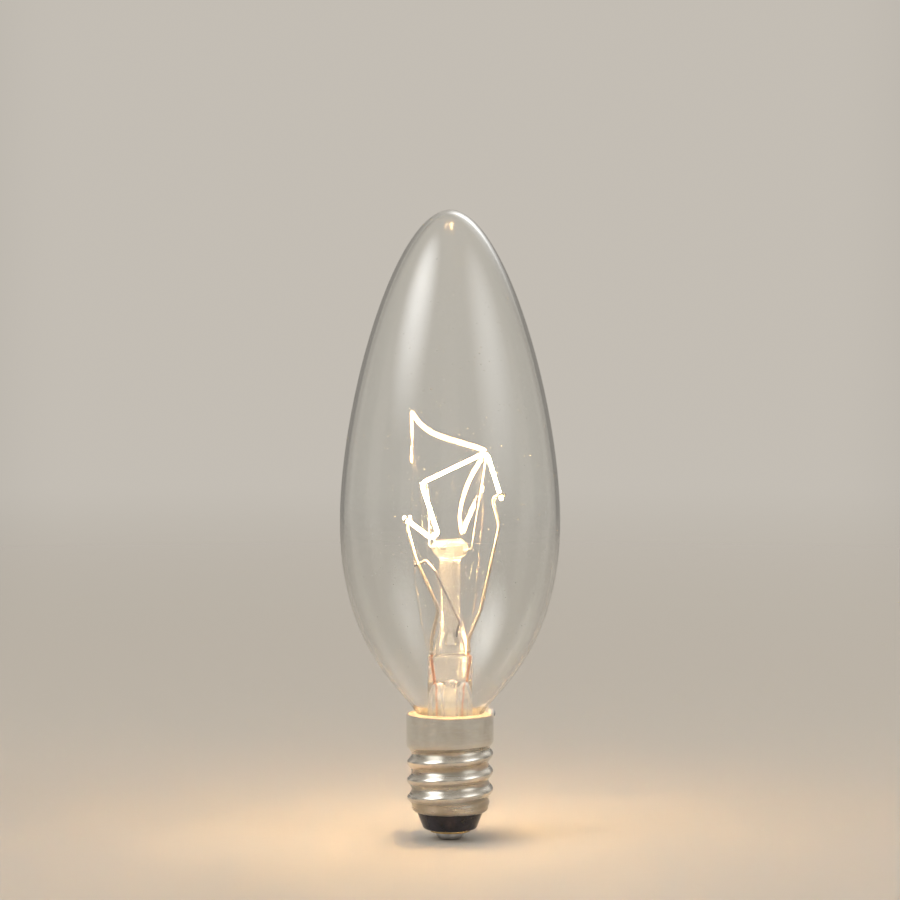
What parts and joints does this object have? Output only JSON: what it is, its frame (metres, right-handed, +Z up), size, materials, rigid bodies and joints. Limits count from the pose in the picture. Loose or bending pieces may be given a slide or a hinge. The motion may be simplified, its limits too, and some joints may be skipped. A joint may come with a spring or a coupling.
{
  "type": "candle light bulb",
  "caption": "Clear glass candle-shaped filament light bulb with a glass stem, hooked wire supports and a small round-thread screw cap with a centre contact.",
  "frame": {"origin": "middle of the flat at the lowest point of the centre contact, from which lamp lengths are measured", "axes": "+Z up the lamp's axis to the tip of the glass, +X to the right and -Y to the front as the picture shows it"},
  "size_m": [0.035, 0.035, 0.1],
  "materials": {
    "envelope_glass": "polished",
    "stem_glass": "polished",
    "nickel_wire": "satin",
    "molybdenum_wire": "satin",
    "copper_wire": "satin",
    "glowing_tungsten": "satin",
    "plated_shell": "satin",
    "cement": "matte",
    "dark_glass": "gloss",
    "contact_brass": "satin",
    "solder": "satin"
  },
  "bodies": {
    "root": {"glass_envelope": "envelope_glass", "stem_tube": "stem_glass", "exhaust_tube": "stem_glass", "button_rod": "stem_glass", "seal_wire_left": "copper_wire", "seal_wire_right": "copper_wire", "inner_lead_left": "nickel_wire", "inner_lead_right": "nickel_wire", "outer_lead_centre": "copper_wire", "outer_lead_side": "copper_wire", "support_left": "molybdenum_wire", "support_right": "molybdenum_wire", "support_front": "molybdenum_wire", "tie_wire": "molybdenum_wire", "filament": "glowing_tungsten", "screw_shell": "plated_shell", "basing_cement": "cement", "insulator": "dark_glass", "contact_eyelet": "contact_brass", "contact_solder": "solder", "shell_solder": "solder"}
  },
  "joints": []
}
